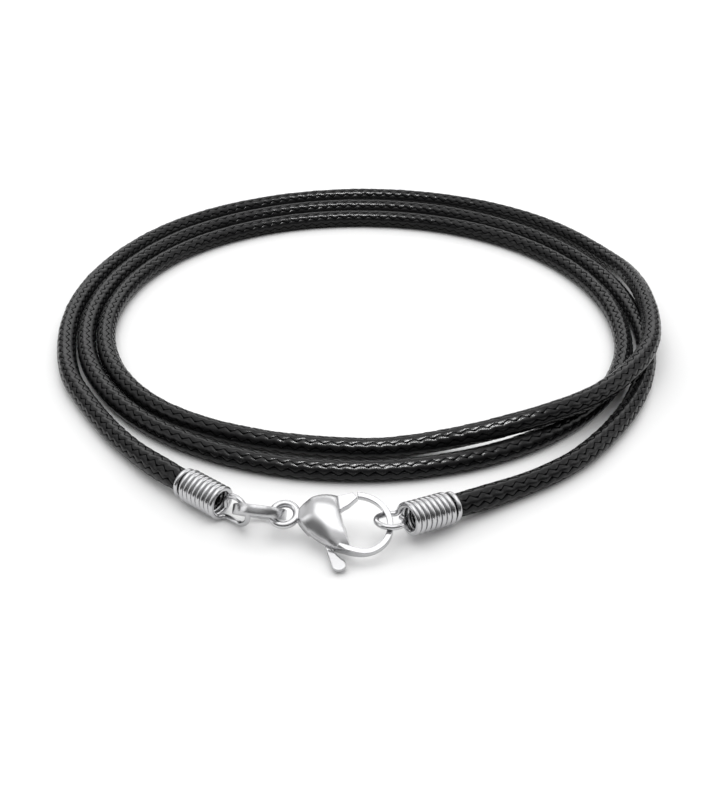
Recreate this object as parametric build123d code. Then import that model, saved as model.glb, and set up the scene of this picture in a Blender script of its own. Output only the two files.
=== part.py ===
from build123d import *
import os
from math import asin, atan2, cos, degrees, pi, radians, sin, tan

os.makedirs("parts", exist_ok=True)

# Braided leather necklace cord with coiled wire ends and a trigger clasp, laid on a surface.
# Millimetres. X runs along the clasp from its ring to its hook, Y from the clasp to the far side
# of the coil, Z up. The origin is the middle of the footprint, on the surface.

# Cord
cord_diameter = 1.9
coil_radius = 29.0
coil_centre_x = 0.38
coil_centre_y = 4.5
strand_clearance = 0.08
turn_steps = 16
tip_setback = 0.8
straight_run = 6.0

# Coiled wire cord ends
wire_diameter = 0.46
wire_gap = 0.045
cord_fit = 0.03
rest_gap = 0.04
wire_steps = 10
tight_steps = 75
ramp_steps = 4
crimp_steps = 9
crimp_gap = 0.62
crimp_squeeze = 0.12
left_eye_radius = 1.25
right_eye_radius = 1.15
eye_steps = 8
eye_end_angle = 188
left_eye_reach = 1.95
left_eye_offset = -0.12
right_eye_reach = 1.6
right_eye_offset = 0.48

# Jump ring
jump_ring_radius = 2.0
jump_ring_thickness = 0.42
jump_ring_width = 0.9
jump_ring_corner = 0.15

# Clasp, in its own plane: X along it from its ring, Y across it, Z out of its front
ring_radius = 1.02
ring_wire = 0.62
neck_width = 1.0
clasp_length = 8.93
clasp_width = 5.8
body_back = 0.25
body_front = 1.12
body_draft = 12
dome_radius = 3.99
dome_half_length = 5.3
ridge_height = 0.86
ridge_turn = -28
facet_slope = 35
edge_facet_width = 0.5
edge_facet_slope = 48
hook_width = 0.46
hook_depth = 0.46
hook_root_front = 0.6

# Lever and its pin
roof_height = 0.32
slot_roof_height = -0.04
running_gap = 0.06
pin_radius = 0.3
pin_fit = 0.03
pin_seat = 0.2
hub_radius = 0.65
jaw_gap = 0.07
jaw_back = 0.3
tab_reach = 5.1
tab_angle = -64
tab_radius = 0.56
tab_thickness = 0.4
tab_rise = 0.44

# How the hardware lies: turn about Z, rise towards the front end, roll about its own axis
clasp_lie = (-11.4, -0.65, 22)
jump_ring_lie = (-17.8, 6.0, -40)
left_end_turn = -40.3
right_end_turn = 213.2
right_end_roll = 7
clasp_azimuth = -99.5
clasp_offset = 4.51
clasp_height = 2.1
ring_play = 0.15
eye_play = 0.03
hook_play = 0.18

# Cord route, a row for each step round the coil: azimuth, then the strand's offset from the
# coil radius in strand spacings on the first, the second and the third time round
coil_rows = [
    (202.5, 1.03, -0.98, 0.02),
    (180.0, 0.81, -1.20, -0.20),
    (157.5, 0.98, -1.29, -0.15),
    (135.0, 1.49, -1.46, 0.02),
    (112.5, 1.67, -1.67, 0.00),
    (90.0, 1.83, -1.87, -0.05),
    (67.5, 1.78, -1.81, -0.13),
    (45.0, 1.62, -1.65, -0.30),
    (22.5, 1.26, -1.46, -0.33),
    (0.0, None, -1.16, -0.15),
    (-22.5, None, -0.53, None),
    (-45.0, None, -0.05, None),
    (-67.5, None, 0.19, None),
    (-90.0, -1.60, 0.28, None),
    (-112.5, -1.36, 0.34, None),
    (-135.0, -0.90, 0.23, None),
]

# The first turn climbs over the other two here: azimuth, offset, lift in cord diameters
crossing_rows = [
    (11.25, 0.73, 0.55),
    (0.0, 0.40, 0.97),
    (-11.25, 0.48, 1.08),
    (-22.5, 0.66, 1.13),
    (-33.75, 0.45, 1.08),
    (-45.0, 0.23, 1.05),
    (-56.25, -0.10, 1.13),
    (-67.5, -0.73, 0.71),
    (-78.75, -1.50, 0.05),
]

# The last turn leaves the coil for the right wire end: azimuth, offset
leaving_rows = [(-18.0, 0.47), (-36.0, 1.18), (-53.0, 2.07), (-63.5, 2.52)]

# The first turn comes from the left wire end: azimuth, offset
joining_rows = [(229.5, 1.79), (217.0, 1.19)]

# Outlines in the clasp's plane, in shares of the clasp's length and width
hook_outer = [(0.538, -0.440), (0.627, -0.476), (0.717, -0.486), (0.935, -0.336),
              (1.000, -0.052), (0.890, 0.345), (0.610, 0.491)]
hook_centre = (0.717, -0.017)
body_lower = [(0.358, -0.359), (0.672, -0.474)]
body_right = [(0.672, -0.397), (0.560, -0.017), (0.466, 0.379)]
body_upper = (0.235, 0.302)
dome_centre = (0.370, 0.017)
ridge_start = (0.213, -0.052)
catch_point = (0.945, 0.109)
pin_point = (0.3695, 0.0345)
jaw_heel = [(0.560, 0.259), (0.515, 0.198), (0.442, 0.052)]
jaw_root = [(0.312, 0.069), (0.429, 0.379)]
jaw_pocket = [(0.286, 0.034), (0.291, 0.190), (0.398, 0.466), (0.610, 0.466), (0.610, -0.060),
              (0.370, -0.103)]
tab_neck = [(0.312, 0.000), (0.442, -0.431), (0.493, -0.431), (0.437, 0.017)]
tab_slot = [(0.280, 0.069), (0.255, -0.552), (0.522, -0.552), (0.470, 0.034)]

# Side profiles: shares of the clasp's length with shares of the body's front height, and of
# the clasp's width
neck_profile = [(0.08, 0.26), (0.18, 0.54), (0.30, 1.10)]
root_profile = (0.526, 0.660, 0.850)
tab_profile = (0.20, -0.45, -0.85)

strand_spacing = cord_diameter + strand_clearance
floor_height = cord_diameter / 2
wire_radius = cord_diameter / 2 + cord_fit + wire_diameter / 2
rest_height = wire_radius + wire_diameter / 2 + rest_gap
pitch = wire_diameter + wire_gap
crimp_reach = (tight_steps / wire_steps - 0.5) * pitch + crimp_gap


def coil_point(azimuth, offset, height, step=0):
    radius = (coil_radius + offset * strand_spacing) / cos(radians(step / 2))
    x = coil_centre_x + radius * cos(radians(azimuth))
    y = coil_centre_y + radius * sin(radians(azimuth))
    return Vector(x, y, height)


def lying(turn, rise, roll):
    return Rot(0, 0, turn) * Rot(0, -rise, 0) * Rot(roll, 0, 0)


def in_plane(share):
    return Vector(share[0] * clasp_length, share[1] * clasp_width)


def outline(shares):
    points = [in_plane(share) for share in shares]
    return make_face(Polyline(*points, points[0]))


# Each piece takes its place from the piece it hangs on
def clasp_location():
    return Location(coil_point(clasp_azimuth, clasp_offset, clasp_height)) * lying(*clasp_lie)


def jump_ring_location():
    held = Location(clasp_location().position) * lying(*jump_ring_lie)
    return held * Location((-jump_ring_radius - ring_play, 0, 0))


def left_end_location():
    held = (jump_ring_location() * Location((-jump_ring_radius, 0, 0))).position
    eye = Location((held.X, held.Y, rest_height)) * lying(left_end_turn, 0, 90)
    return eye * Location((-left_eye_reach - eye_play, 0, 0))


def right_end_location():
    held = (clasp_location() * Location(in_plane(catch_point))).position
    rise = degrees(asin((held.Z - rest_height) / (right_eye_reach + hook_play + crimp_reach)))
    eye = Location(held) * lying(right_end_turn, rise, right_end_roll)
    return eye * Location((-right_eye_reach - hook_play, right_eye_offset, 0))


def end_points(axis):
    tip = axis * Location((-tip_setback, 0, 0))
    outside = axis * Location((-tip_setback - straight_run, 0, 0))
    return [tip.position, outside.position]


def cord_route():
    step = 360 / turn_steps
    points = end_points(left_end_location())
    for azimuth, offset in joining_rows:
        points.append(coil_point(azimuth, offset, floor_height, 20))
    for azimuth, offset, _, _ in coil_rows[:8]:
        points.append(coil_point(azimuth, offset, floor_height, step))
    points.append(coil_point(coil_rows[8][0], coil_rows[8][1], floor_height, 17))
    for azimuth, offset, lift in crossing_rows:
        points.append(coil_point(azimuth, offset, floor_height + lift * cord_diameter, step / 2))
    for azimuth, offset, _, _ in coil_rows[13:]:
        points.append(coil_point(azimuth, offset, floor_height, step))
    for azimuth, _, offset, _ in coil_rows:
        points.append(coil_point(azimuth, offset, floor_height, step))
    for azimuth, _, _, offset in coil_rows[:10]:
        points.append(coil_point(azimuth, offset, floor_height, step))
    for azimuth, offset in leaving_rows:
        points.append(coil_point(azimuth, offset, floor_height, 18))
    return points + list(reversed(end_points(right_end_location())))


def bend_radii(points):
    radii = []
    for before, here, after in zip(points, points[1:], points[2:]):
        turn = radians((here - before).get_angle(after - here))
        shorter = min((here - before).length, (after - here).length)
        radii.append(0.45 * shorter / tan(turn / 2))
    return radii


def round_sweep(points, diameter):
    path = FilletPolyline(*points, radius=bend_radii(points))
    profile = Plane(origin=path @ 0, z_dir=path % 0) * Circle(diameter / 2)
    return sweep(profile, path=path), path.length


def braided_cord():
    points = cord_route()
    solid, length = round_sweep(points, cord_diameter)
    groove = Torus(wire_radius - crimp_squeeze, wire_diameter / 2 + cord_fit)
    groove = Location((-crimp_reach, 0, 0)) * Rot(0, 90, 0) * groove
    print("cord bend radii", [round(r, 1) for r in bend_radii(points)])
    print("cord length", round(length, 2), "volume over section times length",
          round(solid.volume / (length * pi * cord_diameter**2 / 4), 5))
    return solid - left_end_location() * groove - right_end_location() * groove


# The wire runs from its free end round the crimp turn, along the tight coil and round the eye
def wire_end(eye_reach, eye_offset, eye_radius):
    points = []
    for step in range(tight_steps + ramp_steps + crimp_steps, -1, -1):
        past_coil = min(max((step - tight_steps) / ramp_steps, 0), 1)
        x = pitch / 2 - min(step, tight_steps) / wire_steps * pitch - past_coil * crimp_gap
        squeeze = crimp_squeeze if past_coil == 1 else 0
        vertex_radius = (wire_radius - squeeze) / cos(pi / wire_steps)
        angle = radians(144) - 2 * pi * step / wire_steps
        points.append(Vector(x, vertex_radius * cos(angle), vertex_radius * sin(angle)))
    points.append(Vector(points[-1].X + wire_diameter / 4, -wire_radius, 0))
    eye_vertex = eye_radius / cos(pi / eye_steps)
    for step in range(eye_steps - 1):
        angle = radians(-112.5 + 360 / eye_steps * step)
        x = eye_reach + eye_vertex * cos(angle)
        points.append(Vector(x, -eye_offset + eye_vertex * sin(angle), 0))
    tip = radians(eye_end_angle)
    points.append(Vector(eye_reach + eye_radius * cos(tip), -eye_offset + eye_radius * sin(tip), 0))
    return round_sweep(points, wire_diameter)[0]


# A flat band bent into a ring
def jump_ring():
    section = RectangleRounded(jump_ring_thickness, jump_ring_width, jump_ring_corner)
    return revolve(Plane.XZ * Pos(jump_ring_radius, 0) * section, Axis.Z)


def slab(face, low, high):
    return extrude(Plane.XY.offset(low) * face, amount=high - low, dir=(0, 0, 1))


def across(points):
    return extrude(Plane.XZ * make_face(Polyline(*points)), amount=clasp_width, both=True)


def round_at(share, radius, low, high):
    centre = in_plane(share)
    return Location((centre.X, centre.Y, (low + high) / 2)) * Cylinder(radius, high - low)


def body_face():
    start = Vector(ring_radius, neck_width / 2)
    lower = Vector(ring_radius + ring_wire / 4, -neck_width / 2)
    middle, tail = [in_plane(share) for share in body_lower]
    inside, waist, top = [in_plane(share) for share in body_right]
    edges = [
        Line(start, lower),
        ThreePointArc(lower, middle, tail),
        Line(tail, inside),
        ThreePointArc(inside, waist, top),
        ThreePointArc(top, in_plane(body_upper), start),
    ]
    return make_face(Wire(edges))


def neck_rise():
    rise = [(x * clasp_length, z * body_front) for x, z in neck_profile]
    back = [(clasp_length, rise[-1][1]), (clasp_length, -body_back), (rise[0][0], -body_back)]
    return across(rise + back + [rise[0]])


def dome():
    upper = Location((0, dome_radius)) * Rectangle(3 * dome_half_length, 2 * dome_radius)
    round_top = revolve(Ellipse(dome_half_length, dome_radius) & upper, Axis.X)
    centre = in_plane(dome_centre)
    return Location((centre.X, centre.Y, body_front - dome_radius)) * Rot(0, 0, ridge_turn) * round_top


# The space below the plane facet that runs from the ridge down to the body's lower rim
def below_facet():
    start = in_plane(ridge_start)
    slope = Location((start.X, start.Y, ridge_height)) * Rot(0, 0, ridge_turn) * Rot(facet_slope, 0, 0)
    return slope * Location((0, 0, -clasp_length / 2)) * Box(3 * clasp_length, 3 * clasp_length, clasp_length)


# The space below the narrow facet along the body's edge beside the jaw
def below_edge_facet():
    inside, _, top = [in_plane(share) for share in body_right]
    edge = degrees(atan2(top.Y - inside.Y, top.X - inside.X))
    slope = Location((inside.X, inside.Y, body_front)) * Rot(0, 0, edge)
    slope = slope * Location((0, edge_facet_width, 0)) * Rot(edge_facet_slope, 0, 0)
    return slope * Location((0, 0, -clasp_length / 2)) * Box(3 * clasp_length, 3 * clasp_length, clasp_length)


def inward(point):
    return point + (in_plane(hook_centre) - point).normalized() * hook_width


def hook_face():
    outer = [in_plane(share) for share in hook_outer]
    inner = [inward(point) for point in reversed(outer)]
    edges = []
    for side in (outer, inner):
        edges += [ThreePointArc(*side[start:start + 3]) for start in (0, 2, 4)]
    edges.insert(3, Line(outer[-1], inner[0]))
    edges.append(Line(inner[-1], outer[0]))
    return make_face(Wire(edges))


def hook():
    half = hook_depth / 2
    first, second, third = [share * clasp_length for share in root_profile]
    root = across([(first, -half), (first, hook_root_front), (second, hook_root_front),
                   (third, half), (third, -half), (first, -half)])
    lower_side = Box(2 * clasp_length, clasp_width, clasp_width)
    lower_side = Location((clasp_length / 2, -clasp_width / 2, 0)) * lower_side
    root = slab(hook_face(), -half, hook_root_front) & root & lower_side & below_facet()
    return slab(hook_face(), -half, half) + root


def clasp_body():
    prism = extrude(Plane.XY.offset(-body_back) * body_face(), amount=body_back + 1.3 * body_front,
                    taper=body_draft)
    body = prism & neck_rise() & dome() & below_facet() & below_edge_facet()
    solid = body + hook() + Torus(ring_radius, ring_wire / 2)
    solid = solid - slab(outline(jaw_pocket), -body_front, roof_height)
    solid = solid - slab(outline(tab_slot), -body_front, slot_roof_height)
    solid = solid - round_at(pin_point, hub_radius + running_gap, -body_front, roof_height)
    return solid - round_at(pin_point, pin_radius + pin_fit, -body_front, roof_height + pin_seat)


def jaw_face():
    pin = in_plane(pin_point)
    catch = inward(in_plane(hook_outer[-1])) - pin
    end = catch.normalized() * (catch.length - jaw_gap)
    top = pin + end.rotate(Axis.Z, 10)
    heel = [in_plane(share) for share in jaw_heel]
    root = [in_plane(share) for share in jaw_root]
    return make_face(Polyline(top, pin + end.rotate(Axis.Z, -1), *heel, pin, *root, top))


def tab_face():
    bulb = in_plane(pin_point) + Vector(tab_reach - tab_radius, 0).rotate(Axis.Z, tab_angle)
    corners = [in_plane(share) for share in tab_neck]
    left = bulb + Vector(-tab_radius, 0).rotate(Axis.Z, tab_angle + 90)
    right = bulb + Vector(tab_radius, 0).rotate(Axis.Z, tab_angle + 90)
    neck = make_face(Polyline(corners[0], corners[1], left, right, corners[2], corners[3], corners[0]))
    return neck + Location(bulb) * Circle(tab_radius)


def clasp_lever():
    jaw_front = roof_height - running_gap
    tab_front = slot_roof_height - running_gap
    tab_back = tab_front - tab_thickness
    inner, start, end = [share * clasp_width for share in tab_profile]
    side = [(inner, tab_back), (start, tab_back), (end, tab_back + tab_rise),
            (-clasp_width, tab_back + tab_rise), (-clasp_width, tab_front + tab_rise),
            (end, tab_front + tab_rise), (start, tab_front), (inner, tab_front), (inner, tab_back)]
    bent = extrude(Plane.YZ * make_face(Polyline(*side)), amount=clasp_length)
    tab = slab(tab_face(), tab_back, jaw_front) & bent
    jaw = slab(jaw_face(), -jaw_back, jaw_front)
    hub = round_at(pin_point, hub_radius, tab_back, jaw_front)
    return jaw + tab + hub - round_at(pin_point, pin_radius + pin_fit, -body_front, body_front)


def lever_pin():
    tab_back = slot_roof_height - running_gap - tab_thickness
    return round_at(pin_point, pin_radius, tab_back, roof_height + pin_seat - pin_fit)


nodes = {
    "braided_cord": braided_cord(),
    "wire_end_left": left_end_location() * wire_end(left_eye_reach, left_eye_offset, left_eye_radius),
    "wire_end_right": right_end_location() * wire_end(right_eye_reach, right_eye_offset, right_eye_radius),
    "jump_ring": jump_ring_location() * jump_ring(),
    "clasp_body": clasp_location() * clasp_body(),
    "clasp_lever": clasp_location() * clasp_lever(),
    "lever_pin": clasp_location() * lever_pin(),
}

for name, solid in nodes.items():
    export_step(solid, f"parts/{name}.step")
    box = solid.bounding_box()
    print(name, round(solid.volume, 3), box.min, box.max)

pin_place = clasp_location() * Location(in_plane(pin_point))
front = (pin_place * Location((0, 0, 1))).position - pin_place.position
print("lever pin at", pin_place.position, "its axis", front)
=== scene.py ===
from math import cos, pi, radians, sin

import bpy
import numpy as np
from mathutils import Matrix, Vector


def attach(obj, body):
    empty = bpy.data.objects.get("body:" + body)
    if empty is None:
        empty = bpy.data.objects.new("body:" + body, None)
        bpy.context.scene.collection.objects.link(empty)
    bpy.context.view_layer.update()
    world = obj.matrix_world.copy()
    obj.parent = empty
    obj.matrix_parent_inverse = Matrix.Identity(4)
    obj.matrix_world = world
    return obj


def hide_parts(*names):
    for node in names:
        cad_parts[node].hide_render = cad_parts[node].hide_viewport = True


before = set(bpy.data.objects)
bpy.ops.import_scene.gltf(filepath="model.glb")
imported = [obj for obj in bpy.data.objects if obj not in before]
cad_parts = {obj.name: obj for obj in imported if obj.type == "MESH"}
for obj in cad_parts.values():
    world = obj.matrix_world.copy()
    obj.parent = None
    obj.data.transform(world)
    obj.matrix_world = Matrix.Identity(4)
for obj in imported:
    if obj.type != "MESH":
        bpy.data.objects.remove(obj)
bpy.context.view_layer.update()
print("frame loaded with", ", ".join(sorted(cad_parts)))


# Shader helpers: a Signal is one output socket, and sums with it add Math nodes
class Signal:
    def __init__(self, shader, socket):
        self.shader = shader
        self.socket = socket

    def maths(self, operation, first, second):
        return self.shader.node("Math", {"operation": operation}, {0: first, 1: second})

    def __add__(self, other):
        return self.maths("ADD", self, other)

    def __sub__(self, other):
        return self.maths("SUBTRACT", self, other)

    def __rsub__(self, other):
        return self.maths("SUBTRACT", other, self)

    def __mul__(self, other):
        return self.maths("MULTIPLY", self, other)

    __radd__ = __add__
    __rmul__ = __mul__


class Shader:
    def __init__(self, name, library=bpy.data.materials):  # the library may be the worlds' too
        self.owner = library.new(name)
        self.owner.use_nodes = True
        self.tree = self.owner.node_tree
        self.tree.nodes.clear()

    def node(self, kind, settings, inputs, output=0):
        made = self.tree.nodes.new("ShaderNode" + kind)
        for name, value in settings.items():
            if name == "stops":
                ramp = made.color_ramp.elements
                while len(ramp) < len(value):
                    ramp.new(1)
                for stop, (place, tone) in zip(ramp, value):
                    stop.position = place
                    stop.color = (tone, tone, tone, 1)
            else:
                setattr(made, name, value)
        for name, value in inputs.items():
            if isinstance(value, Signal):
                self.tree.links.new(value.socket, made.inputs[name])
            else:
                made.inputs[name].default_value = value
        return Signal(self, made.outputs[output])

    def noise(self, scale, detail=3.0, stretch=(1, 1, 1)):
        place = self.node("TexCoord", {}, {}, "Object")
        place = self.node("Mapping", {}, {"Vector": place, "Scale": stretch})
        return self.node("TexNoise", {}, {"Vector": place, "Scale": scale, "Detail": detail}, "Fac")

    def ramp(self, value, stops):
        return self.node("ValToRGB", {"stops": stops}, {"Fac": value})

    def blend(self, share, first, second):  # two colours
        inputs = {0: share, 6: (*first, 1), 7: (*second, 1)}
        return self.node("Mix", {"data_type": "RGBA"}, inputs, 2)

    def bump(self, height, distance, normal=None):
        inputs = {"Height": height, "Distance": distance}
        if normal:
            inputs["Normal"] = normal
        return self.node("Bump", {}, inputs)

    def softEdges(self, radius):  # edges read as rounded to this radius
        return self.node("Bevel", {"samples": 8}, {"Radius": radius})

    def along(self, origin, direction):  # distance from a point in one direction, in metres
        place = self.node("TexCoord", {}, {}, "Object")
        place = self.node("VectorMath", {"operation": "SUBTRACT"}, {0: place, 1: origin})
        return self.node("VectorMath", {"operation": "DOT_PRODUCT"}, {0: place, 1: direction}, "Value")

    def solid(self, inputs):
        return self.node("BsdfPrincipled", {}, inputs)

    def finished(self, surface, output="OutputMaterial"):
        out = self.tree.nodes.new("ShaderNode" + output)
        self.tree.links.new(surface.socket, out.inputs["Surface"])
        return self.owner


# Cord route: the same points as the CAD model's, in metres
cord = {
    "diameter": 0.0019,
    "length": 0.540,
    "clearance": 0.00008,  # between strands side by side
    "coilRadius": 0.029,
    "centre": (0.00038, 0.0045),
    "leftTip": (-0.0119301, -0.0298499, 0.00148),
    "leftOutside": (-0.0165061, -0.0259691, 0.00148),
    "rightOutside": (0.0098974, -0.0297387, 0.0011988),
    "rightTip": (0.0049183, -0.0329969, 0.0019682),
}

# azimuth, then the strand's offset in strand spacings on the first, second and third time round
coilRows = [
    (202.5, 1.03, -0.98, 0.02), (180.0, 0.81, -1.20, -0.20), (157.5, 0.98, -1.29, -0.15),
    (135.0, 1.49, -1.46, 0.02), (112.5, 1.67, -1.67, 0.00), (90.0, 1.83, -1.87, -0.05),
    (67.5, 1.78, -1.81, -0.13), (45.0, 1.62, -1.65, -0.30), (22.5, 1.26, -1.46, -0.33),
    (0.0, None, -1.16, -0.15), (-22.5, None, -0.53, None), (-45.0, None, -0.05, None),
    (-67.5, None, 0.19, None), (-90.0, -1.60, 0.28, None), (-112.5, -1.36, 0.34, None),
    (-135.0, -0.90, 0.23, None),
]
# the first turn climbs over the other two: azimuth, offset, lift in cord diameters
crossingRows = [
    (11.25, 0.73, 0.55), (0.0, 0.40, 0.97), (-11.25, 0.48, 1.08), (-22.5, 0.66, 1.13),
    (-33.75, 0.45, 1.08), (-45.0, 0.23, 1.05), (-56.25, -0.10, 1.13), (-67.5, -0.73, 0.71),
    (-78.75, -1.50, 0.05),
]
leavingRows = [(-18.0, 0.47), (-36.0, 1.18), (-53.0, 2.07), (-63.5, 2.52)]
joiningRows = [(229.5, 1.79), (217.0, 1.19)]


def coilPoint(azimuth, offset, lift=0, step=22.5):
    spacing = cord["diameter"] + cord["clearance"]
    radius = (cord["coilRadius"] + offset * spacing) / cos(radians(step / 2))
    x = cord["centre"][0] + radius * cos(radians(azimuth))
    y = cord["centre"][1] + radius * sin(radians(azimuth))
    return (x, y, (0.5 + lift) * cord["diameter"])


def cordRoute():
    points = [cord["leftTip"], cord["leftOutside"]]
    points += [coilPoint(azimuth, offset, 0, 20) for azimuth, offset in joiningRows]
    points += [coilPoint(row[0], row[1]) for row in coilRows[:8]]
    points.append(coilPoint(coilRows[8][0], coilRows[8][1], 0, 17))
    points += [coilPoint(azimuth, offset, lift, 11.25) for azimuth, offset, lift in crossingRows]
    points += [coilPoint(row[0], row[1]) for row in coilRows[13:]]
    points += [coilPoint(row[0], row[2]) for row in coilRows]
    points += [coilPoint(row[0], row[3]) for row in coilRows[:10]]
    points += [coilPoint(azimuth, offset, 0, 18) for azimuth, offset in leavingRows]
    return points + [cord["rightOutside"], cord["rightTip"]]


def linePoints(route):  # points read from the route's own NURBS spline
    curve = bpy.data.curves.new("cordLine", "CURVE")
    curve.dimensions = "3D"
    curve.resolution_u = 32
    spline = curve.splines.new("NURBS")
    spline.points.add(len(route) - 1)
    for knot, point in zip(spline.points, route):
        knot.co = (*point, 1)
    spline.order_u = 3
    spline.use_endpoint_u = True
    line = bpy.data.objects.new("cordLine", curve)
    bpy.context.scene.collection.objects.link(line)
    mesh = bpy.data.meshes.new_from_object(line)
    points = np.array([vertex.co for vertex in mesh.vertices])
    bpy.data.objects.remove(line)
    bpy.data.meshes.remove(mesh)
    return points


line = linePoints(cordRoute())
steps = np.linalg.norm(np.diff(line, axis=0), axis=1)
travelled = np.concatenate([[0], np.cumsum(steps)])
print("cord line of", len(line), "points,", round(travelled[-1] * 1000, 1), "mm long")


# The braid: eight columns of slanted floats, each column leaning the other way from the next
braid = {
    "columns": 8,
    "pitch": 0.00122,  # from one float to the next along the cord
    "seamDepth": 0.00005,  # of the zigzag between two columns
    "jointDepth": 0.000012,  # between two floats of one column
    "crown": 0.000012,  # how far a float's middle stands proud of the cord's radius
    "turn": 8.0,  # degrees that the columns are turned about the cord
    "unevenness": 0.000012,
    "endSwell": 0.10,  # the braid is looser beside the wire ends
    "swellAt": 0.0065,  # from the cord's tip
    "swellReach": 0.0028,
    "crimpAt": 0.003355,  # from the cord's tip
    "crimpReach": 0.0003,
    "crimpDepth": 0.00014,  # where the wire end's last turn bites
    "profile": (0, 0.7, 0.95, 1, 0.95, 0.7, 0),  # a float's height at its seven points lengthwise
    "shoulder": 0.33,  # where a float's flat top ends, as a share of its width
    "seed": 7,
}


def cordRadius(along):
    toEnd = np.minimum(along, travelled[-1] - along)
    fromSwell = (toEnd - braid["swellAt"]) / braid["swellReach"]
    fromCrimp = (toEnd - braid["crimpAt"]) / braid["crimpReach"]
    swell = 1 + braid["endSwell"] * np.exp(-(fromSwell ** 2))
    pinch = braid["crimpDepth"] * np.exp(-(fromCrimp ** 2))
    return cord["diameter"] / 2 * swell - pinch


def braidFloats():  # the floats' points as columns around, metres along and height, and their faces
    columns = braid["columns"]
    rows = int(travelled[-1] / braid["pitch"]) + 2
    chance = np.random.default_rng(braid["seed"])
    column, row = np.meshgrid(np.arange(columns), np.arange(-1, rows), indexing="ij")
    column, row = column.reshape(-1, 1, 1), row.reshape(-1, 1, 1)
    odd = column % 2
    lean = 1 - 2 * odd

    # one float is a patch of 7 by 4 points: i counts along it and m across it
    lastLong, midLong, lastWide = 6, 3, 3
    i, m = np.meshgrid(np.arange(lastLong + 1), np.arange(lastWide + 1), indexing="ij")
    i, m = i[None], m[None]
    inside = (i > 0) & (i < lastLong) & (m > 0) & (m < lastWide)
    joint = ((m == lastWide) & (i > midLong) & (i < lastLong)) | ((m == 0) & (i > 0) & (i < midLong))

    # whole numbers that neighbouring floats' shared edge points have in common
    unit = 2 * lastLong  # from one float to the next
    longKey, wideKey = 2 * (i - midLong), 2 * m - lastWide
    acrossKey = (lean * (longKey - wideKey) + unit * column) % (unit * columns)
    alongKey = longKey + wideKey + unit * (row + 2) + midLong * 2 * odd  # never below zero
    keys = (alongKey * unit * columns + acrossKey).reshape(-1)
    _, first, number = np.unique(keys, return_index=True, return_inverse=True)

    longWay = (i - midLong) / lastLong
    wideWay = np.where(inside, np.sign(wideKey) * braid["shoulder"], wideKey / 2 / lastWide)
    across = lean * (longWay - wideWay / 2) + column
    along = (longWay + wideWay / 2 + row + 0.5 * odd) * braid["pitch"]
    rise = np.array(braid["profile"])[i]
    own = chance.normal(0, 1, (len(column), 1, 1)) * braid["unevenness"]
    height = np.where(inside, (braid["seamDepth"] + braid["crown"] + own) * rise, 0)
    height = np.where(joint, braid["seamDepth"] - braid["jointDepth"], height) - braid["seamDepth"]
    depth = np.where(inside, 1, np.where(joint, 0.8, 0))  # 0 in a seam, 1 on a float; the leather's painted seam shade follows it

    number = number.reshape(acrossKey.shape)
    corners = [number[:, :-1, :-1], number[:, 1:, :-1], number[:, 1:, 1:], number[:, :-1, 1:]]
    corners = np.stack(corners, -1)
    mirrored = np.broadcast_to(lean.reshape(-1, 1, 1), corners.shape[:3])
    corners = np.where(mirrored[..., None] > 0, corners, corners[..., ::-1]).reshape(-1, 4)
    tone = np.repeat(chance.uniform(0, 1, len(column)), lastLong * lastWide)
    shared = [np.broadcast_to(part, acrossKey.shape).reshape(-1)[first]
              for part in (across, along, height, depth)]
    return *shared, corners, tone


def wrapped(across, along, height):  # the floats' points, laid around the cord's line
    past = np.maximum(-along, along - travelled[-1]).clip(0)  # each end closes over the tip
    place = along.clip(0, travelled[-1])
    radius = (cordRadius(place) + height) * (1 - past / (cord["diameter"] / 2)).clip(0, 1)
    centre = np.stack([np.interp(place, travelled, line[:, axis]) for axis in range(3)], 1)
    ahead = np.gradient(line, travelled, axis=0)
    ahead = np.stack([np.interp(place, travelled, ahead[:, axis]) for axis in range(3)], 1)
    ahead /= np.linalg.norm(ahead, axis=1)[:, None]
    side = np.cross((0, 0, 1), ahead)
    side /= np.linalg.norm(side, axis=1)[:, None]
    up = np.cross(ahead, side)
    angle = (across * 2 * pi / braid["columns"] + radians(braid["turn"]))[:, None]
    return centre + radius[:, None] * (np.sin(angle) * side + np.cos(angle) * up)


def braidedCord():
    across, along, height, seam, corners, tone = braidFloats()
    mesh = bpy.data.meshes.new("braidedCord")
    mesh.from_pydata(wrapped(across, along, height).tolist(), [], corners.tolist())
    mesh.attributes.new("seam", "FLOAT", "POINT").data.foreach_set("value", seam)
    mesh.attributes.new("tone", "FLOAT", "FACE").data.foreach_set("value", tone)
    mesh.shade_smooth()
    sharp = np.array([seam[a] + seam[b] == 0 for a, b in (edge.vertices for edge in mesh.edges)])
    mesh.attributes.new("sharp_edge", "BOOLEAN", "EDGE").data.foreach_set("value", sharp)
    mesh.validate()
    made = bpy.data.objects.new("braidedLeatherCord", mesh)
    bpy.context.scene.collection.objects.link(made)
    return made


leather = {
    "darkest": (0.001, 0.001, 0.0011),
    "lightest": (0.0055, 0.0055, 0.0057),
    # the seam colour is painted shade: near black for the crevices between the braid's columns, where
    # shade falls
    "seam": (0.0006, 0.0006, 0.0007),
    "seamShadeStops": [(0.14, 0), (0.46, 1)],  # painted seam shade, from a seam's bottom up to the shining float
    "roughness": 0.10,
    "grainDepth": 0.000008,
    "shine": 0.24,
    "refraction": 1.45,
}


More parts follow.
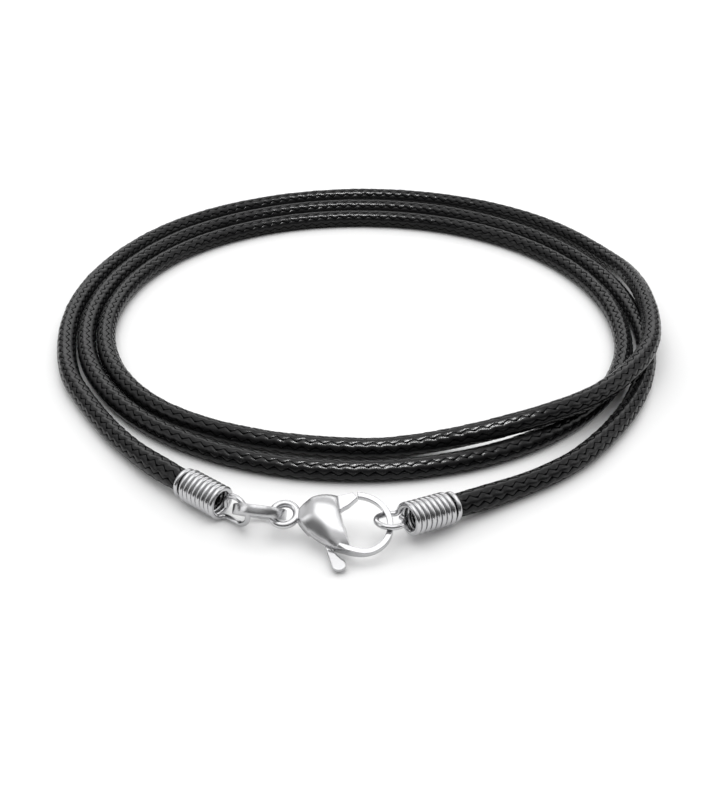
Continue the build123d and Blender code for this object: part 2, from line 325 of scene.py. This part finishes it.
def waxedLeather():
    shader = Shader("blackWaxedLeather")
    seam = shader.node("Attribute", {"attribute_name": "seam"}, {}, "Fac")
    tone = shader.node("Attribute", {"attribute_name": "tone"}, {}, "Fac")
    grain = shader.noise(9000, 4)
    cloud = shader.noise(600, 2)
    speck = shader.noise(3200, 3)
    flat = shader.ramp(seam, leather["seamShadeStops"])
    shade = tone * 0.25 + cloud * 0.4 + speck * 0.6 - 0.1
    strand = shader.solid({
        "Base Color": shader.blend(shade, leather["darkest"], leather["lightest"]),
        "Roughness": leather["roughness"] + grain * 0.12 + speck * 0.14,
        "Normal": shader.bump(grain + speck, leather["grainDepth"]),
        "IOR": leather["refraction"],
        "Specular IOR Level": leather["shine"],
    })
    # painted shade: in the seams a near-black, matt surface that reflects nothing stands in for the
    # crevices' shade
    seamShadeLook = {"Base Color": (*leather["seam"], 1), "Roughness": 0.9, "Specular IOR Level": 0.0}
    paintedSeamShade = shader.solid(seamShadeLook)
    return shader.finished(shader.node("MixShader", {}, {0: flat, 1: paintedSeamShade, 2: strand}))


leatherCord = braidedCord()
leatherCord.data.materials.append(waxedLeather())
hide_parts("braided_cord")
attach(leatherCord, "root")
print("braid made with", len(leatherCord.data.polygons), "faces")


# Polished steel hardware keeps its CAD shape. Each row has its finish, the colour, the roughness and
# how much that changes, and then how round the edges and the dome read, in metres
steel = {
    "wire_end_left": ("wireSteel", (0.56, 0.56, 0.57), 0.18, 0.10, 0, 0),
    "wire_end_right": ("wireSteel", (0.56, 0.56, 0.57), 0.18, 0.10, 0, 0),
    "jump_ring": ("ringSteel", (0.57, 0.57, 0.58), 0.18, 0.10, 0.0005, 0),
    "clasp_body": ("claspSteel", (0.58, 0.58, 0.59), 0.16, 0.10, 0.00016, 0.0008),
    "clasp_lever": ("leverSteel", (0.58, 0.58, 0.59), 0.16, 0.10, 0.00016, 0),
    "lever_pin": ("pinSteel", (0.5, 0.5, 0.51), 0.28, 0.15, 0, 0),
}
claspAxis = ((-0.00588, -0.03291, 0.0021), (0.980, -0.198, 0))  # from its ring towards its hook
domeStops = [(0.10, 0), (0.20, 1), (0.44, 1), (0.52, 0)]  # where the dome is, in cm along it
shadedSteel = 0.88  # of the colour, where the smears are darkest
polishGrain = 0.0000004


def polishedSteel(name, colour, rough, change, soften, dome):
    shader = Shader(name)
    normal = soften and shader.softEdges(soften)
    if dome:
        share = shader.ramp(shader.along(*claspAxis) * 100, domeStops)  # metres to cm
        inputs = {0: share, 4: normal, 5: shader.softEdges(dome)}
        normal = shader.node("Mix", {"data_type": "VECTOR"}, inputs, 1)
    smear = shader.noise(900, 3)
    fine = shader.noise(14000, 3, (1, 1, 0.2))
    tint = shader.blend(smear, tuple(shadedSteel * part for part in colour), colour)
    return shader.finished(shader.solid({
        "Base Color": tint,
        "Metallic": 1.0,
        "Roughness": rough - change * 0.5 + smear * change + fine * 0.03,
        "Normal": shader.bump(fine, polishGrain, normal),
    }))


finishes = {}
for node, (name, *look) in steel.items():
    if name not in finishes:
        finishes[name] = polishedSteel(name, *look)
    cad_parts[node].data.materials.clear()
    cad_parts[node].data.materials.append(finishes[name])
print("steel finishes:", ", ".join(finishes))


# Studio: pale floor, soft lights and the photograph's viewing angle
studio = {
    "floorTone": 0.96,
    "floorFleck": 0.015,  # how much paler its fibres are
    "floorSize": 1.6,
    "world": [(0.0, 0.08), (0.36, 0.24), (0.64, 0.95)],  # height, then the room's tone there
    "worldBack": 0.3,  # how much brighter the room is behind the necklace
    "aim": (0.00038, -0.0115, 0.0),
    "distance": 0.120,
    "elevation": 31.33,
    "lens": 56.46,
}
softboxes = {  # place, aim, size, power
    "topBox": ((0.0, 0.0, 0.50), (0, 0, 0), (0.50, 0.50), 0.9),
    "sparkBox": ((0.03, -0.13, 0.48), (0, 0, 0), (0.22, 0.035), 3.8),
    "backBox": ((0.0, 0.45, 0.26), (0, 0, 0), (0.70, 0.16), 0.45),
    "leftBox": ((-0.45, -0.10, 0.20), (0, 0, 0), (0.20, 0.30), 0.25),
    "rightBox": ((0.45, 0.05, 0.20), (0, 0, 0), (0.20, 0.30), 0.25),
}


def lookAt(thing, place, target):
    thing.location = place
    thing.rotation_euler = (Vector(target) - Vector(place)).to_track_quat("-Z", "Y").to_euler()


def paleFloor():
    half = studio["floorSize"] / 2
    mesh = bpy.data.meshes.new("paleFloor")
    corners = [(-half, -half, 0), (half, -half, 0), (half, half, 0), (-half, half, 0)]
    mesh.from_pydata(corners, [], [(0, 1, 2, 3)])
    floor = bpy.data.objects.new("paleFloor", mesh)
    bpy.context.scene.collection.objects.link(floor)
    shader = Shader("palePaper")
    tone = studio["floorTone"]
    fibre = shader.noise(1500, 3)
    colour = shader.blend(fibre, (tone,) * 3, (tone + studio["floorFleck"],) * 3)
    paper = shader.solid({"Base Color": colour, "Roughness": 0.9, "Specular IOR Level": 0.1})
    mesh.materials.append(shader.finished(paper))


def softLights():
    for name, (place, target, size, power) in softboxes.items():
        lamp = bpy.data.lights.new(name, "AREA")
        lamp.shape = "RECTANGLE"
        lamp.size, lamp.size_y = size
        lamp.energy = power
        box = bpy.data.objects.new(name, lamp)
        bpy.context.scene.collection.objects.link(box)
        lookAt(box, place, target)
        if name == "sparkBox":  # the narrow lamp is for the leather's shine alone
            leatherOnly = bpy.data.collections.new("leatherOnly")
            leatherOnly.objects.link(leatherCord)
            box.light_linking.receiver_collection = leatherOnly


def softWorld():
    shader = Shader("softRoom", bpy.data.worlds)
    room = shader.node("TexCoord", {}, {}, "Generated")
    lean = (0, studio["worldBack"], 1)
    height = shader.node("VectorMath", {"operation": "DOT_PRODUCT"}, {0: room, 1: lean}, "Value")
    light = shader.node("Background", {}, {"Color": shader.ramp(height, studio["world"])})
    bpy.context.scene.world = shader.finished(light, "OutputWorld")


def photoCamera():
    lens = bpy.data.cameras.new("photoCamera")
    lens.lens = studio["lens"]
    lens.sensor_width = 36
    lens.clip_start = 0.005
    lens.clip_end = 10
    camera = bpy.data.objects.new("photoCamera", lens)
    bpy.context.scene.collection.objects.link(camera)
    rise = radians(studio["elevation"])
    aim = Vector(studio["aim"])
    lookAt(camera, aim + studio["distance"] * Vector((0, -cos(rise), sin(rise))), aim)
    bpy.context.scene.camera = camera


paleFloor()
softLights()
softWorld()
photoCamera()
bpy.context.scene.view_settings.view_transform = "Standard"
print("studio set")
